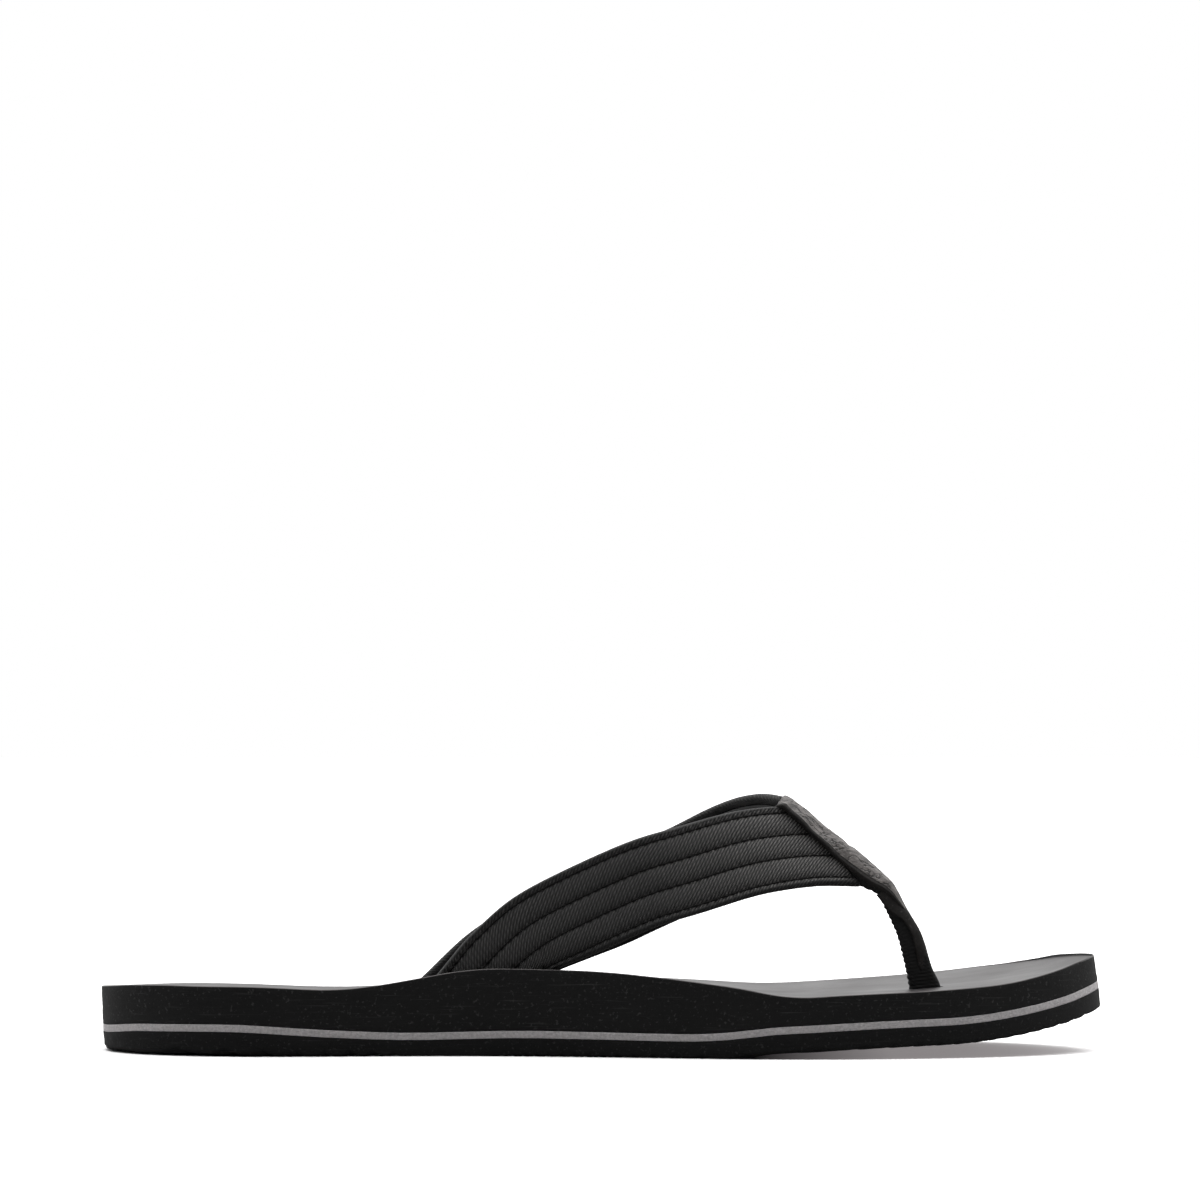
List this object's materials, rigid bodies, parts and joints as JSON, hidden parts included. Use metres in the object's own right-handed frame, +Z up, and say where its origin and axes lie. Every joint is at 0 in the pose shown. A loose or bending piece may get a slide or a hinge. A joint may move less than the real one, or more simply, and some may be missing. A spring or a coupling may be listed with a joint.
{
  "type": "flip flop",
  "caption": "Left thong sandal with a three-layer foam sole, a quilted fabric V strap and a webbing toe post; the sole bends at the ball.",
  "frame": {"origin": "bottom centre of the bounding box, on the ground", "axes": "+X from heel to toe, +Y to the lateral (outer) side, +Z up"},
  "size_m": [0.2902, 0.0988, 0.0749],
  "materials": {
    "outsole_black": "matt foam rubber with fine pores",
    "layer_grey": "matt foam, cut edge",
    "footbed_black": "matt foam with fine lengthwise streaks",
    "strap_weave": "charcoal twill, quilted",
    "foam": "soft padding",
    "lining_black": "smooth lining",
    "thread": "black sewing thread",
    "webbing_black": "close-woven webbing",
    "cover_brown": "wrinkled synthetic leather, grey-brown",
    "anchor_plastic": "moulded plastic"
  },
  "bodies": {
    "rear": {"outsole_rear": "outsole_black", "grey_layer_rear": "layer_grey", "footbed_rear": "footbed_black", "medial_strap_anchor": "webbing_black", "lateral_strap_anchor": "webbing_black"},
    "forefoot": {"outsole_front": "outsole_black", "grey_layer_front": "layer_grey", "footbed_front": "footbed_black", "toe_post_anchor": "anchor_plastic", "outsole_plug": "outsole_black"},
    "toe_post": {"toe_post_webbing": "webbing_black", "toe_post_facing": "cover_brown"},
    "strap": {"medial_strap_shell": "strap_weave", "medial_strap_padding": "foam", "medial_strap_lining": "lining_black", "medial_strap_stitching": "thread", "lateral_strap_shell": "strap_weave", "lateral_strap_padding": "foam", "lateral_strap_lining": "lining_black", "lateral_strap_stitching": "thread", "apex_cover": "cover_brown", "apex_webbing_end": "webbing_black"}
  },
  "joints": [
    {"name": "sole_flex", "type": "hinge", "parent": "rear", "child": "forefoot", "pos_m": [0.051, 0, 0.019], "axis": [0, -1, 0], "range_deg": [0, 30], "stiffness_Nm_per_rad": 0.4},
    {"name": "strap_lift", "type": "hinge", "parent": "rear", "child": "strap", "pos_m": [-0.035, 0, 0.022], "axis": [0, -1, 0], "range_deg": [0, 11]},
    {"name": "toe_post_swing", "type": "hinge", "parent": "forefoot", "child": "toe_post", "pos_m": [0.0948, -0.018, 0.017], "axis": [0, -1, 0], "range_deg": [-28, 0]}
  ],
  "couplings": [
    {"joint": "strap_lift", "follows": "sole_flex", "ratio": 0.357},
    {"joint": "toe_post_swing", "follows": "sole_flex", "ratio": -0.87}
  ]
}
